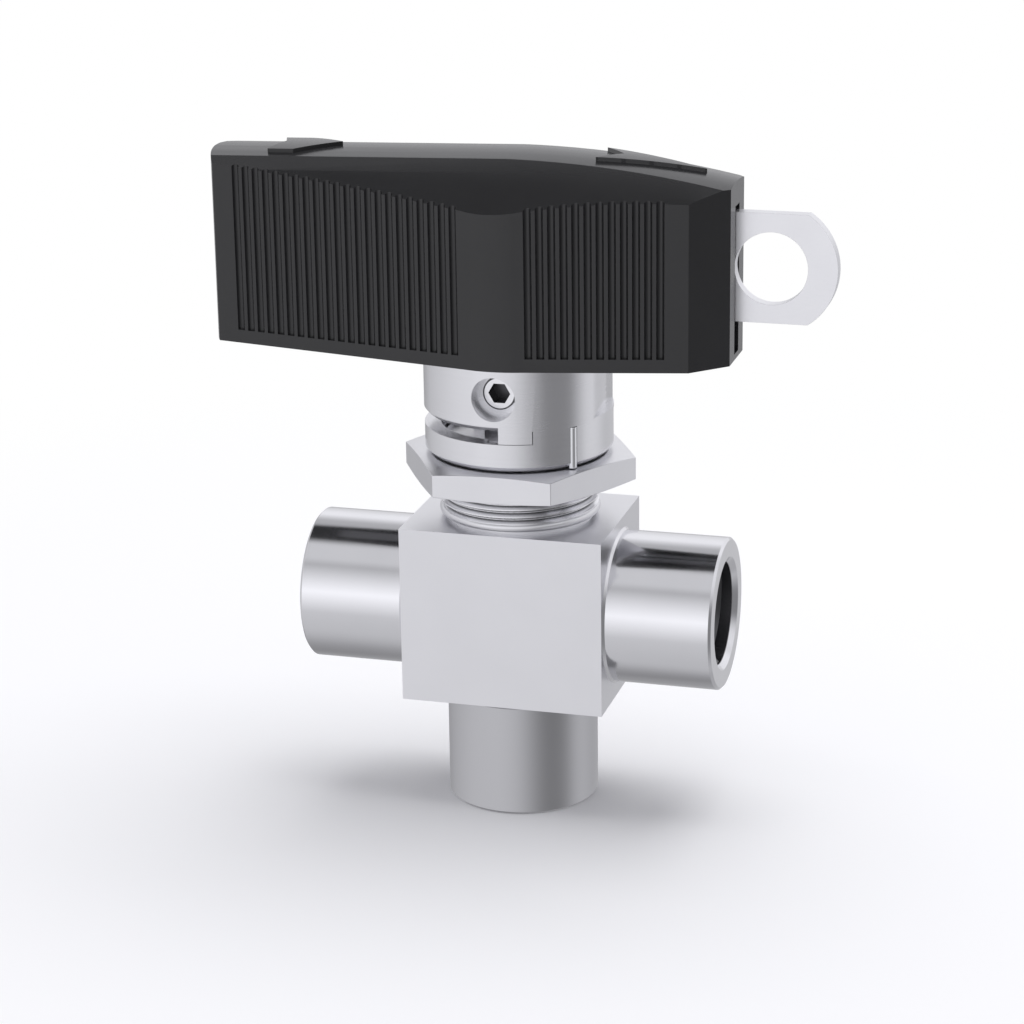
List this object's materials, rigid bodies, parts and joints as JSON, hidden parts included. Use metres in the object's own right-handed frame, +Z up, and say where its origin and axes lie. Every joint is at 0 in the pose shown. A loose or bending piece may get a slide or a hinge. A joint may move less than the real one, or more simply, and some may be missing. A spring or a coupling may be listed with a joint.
{
  "type": "three-way ball valve",
  "caption": "Three-way ball valve with threaded side and bottom ports, a panel-mount neck, a fluted lever grip and a sprung latch plate for a padlock.",
  "frame": {"origin": "on the stem axis, in the plane of the bottom port's face", "axes": "+Z up the stem, +X out of the right port, towards the latch tab at rest"},
  "size_m": [0.0758, 0.025, 0.0808],
  "materials": {
    "machined_body": "fine machined stainless steel",
    "stainless_steel": "turned stainless steel, satin",
    "stamped_plate": "tumbled stainless sheet",
    "spring_steel": "drawn wire, bright",
    "moulded_grip": "fine matt moulded",
    "packing": "smooth white fluoropolymer",
    "bearing": "turned tan polymer"
  },
  "bodies": {
    "body": {"valve_body": "machined_body", "panel_nut": "machined_body", "stop_ring": "stainless_steel", "ring_dowel": "stainless_steel", "lower_packing": "packing", "upper_packing": "packing", "left_side_disc": "stainless_steel", "right_side_disc": "stainless_steel", "left_side_ring": "stainless_steel", "right_side_ring": "stainless_steel", "packing_gland": "stainless_steel", "gland_springs": "spring_steel", "ground_spring": "spring_steel", "stem_bearing": "bearing", "packing_bolt": "stainless_steel"},
    "handle": {"ball_stem": "stainless_steel", "handle_hub": "stainless_steel", "hub_set_screws": "stainless_steel", "grip_cover": "moulded_grip", "latch_guide_pin": "stainless_steel", "latch_stop_pin": "stainless_steel", "latch_spring": "spring_steel"},
    "latch": {"latch_plate": "stamped_plate"}
  },
  "joints": [
    {"name": "handle_turn", "type": "hinge", "parent": "body", "child": "handle", "pos_m": [0, 0, 0.05], "axis": [0, 0, 1], "range_deg": [-180, 0]},
    {"name": "latch_push", "type": "slide", "parent": "handle", "child": "latch", "axis": [1, 0, 0], "range_m": [-0.002, 0], "stiffness_N_per_m": 600, "springref_m": 0.006, "deforming": ["latch_spring"]}
  ]
}
